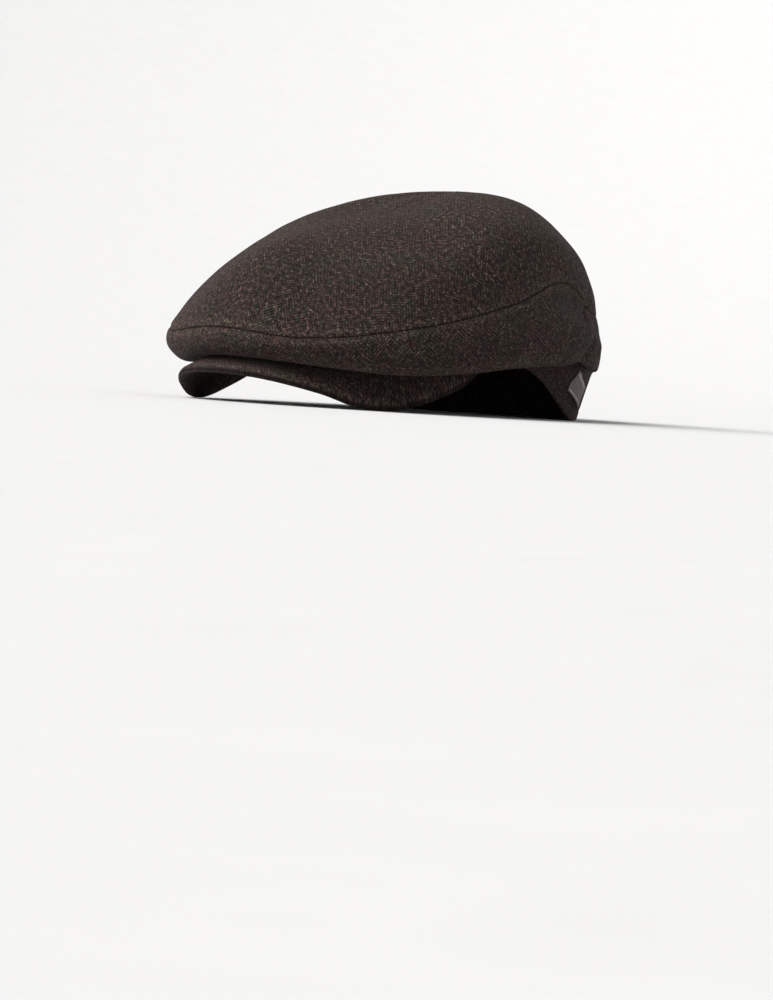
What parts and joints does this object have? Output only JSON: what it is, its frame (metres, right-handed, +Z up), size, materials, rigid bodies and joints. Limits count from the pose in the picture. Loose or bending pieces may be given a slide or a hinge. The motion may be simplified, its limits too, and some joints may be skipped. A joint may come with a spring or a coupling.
{
  "type": "flat cap",
  "caption": "Soft flat cap of dark brown herringbone wool: a domed top cloth, a side cloth with a soft overhang, a short curved peak and a small bare woven label at the nape.",
  "frame": {"origin": "middle of the cap's outline seen from above, on the surface that the cap stands on", "axes": "+Z up, the peak towards -Y, the wearer's left at +X"},
  "size_m": [0.2121, 0.2562, 0.1225],
  "materials": {
    "wool_top": "matte",
    "wool_side": "matte",
    "wool_peak": "matte",
    "wool_peak_under": "matte",
    "label_weave": "satin"
  },
  "bodies": {
    "root": {"top_panel": "wool_top", "side_panel": "wool_side", "peak_top": "wool_peak", "peak_under": "wool_peak_under", "label": "label_weave"}
  },
  "joints": []
}
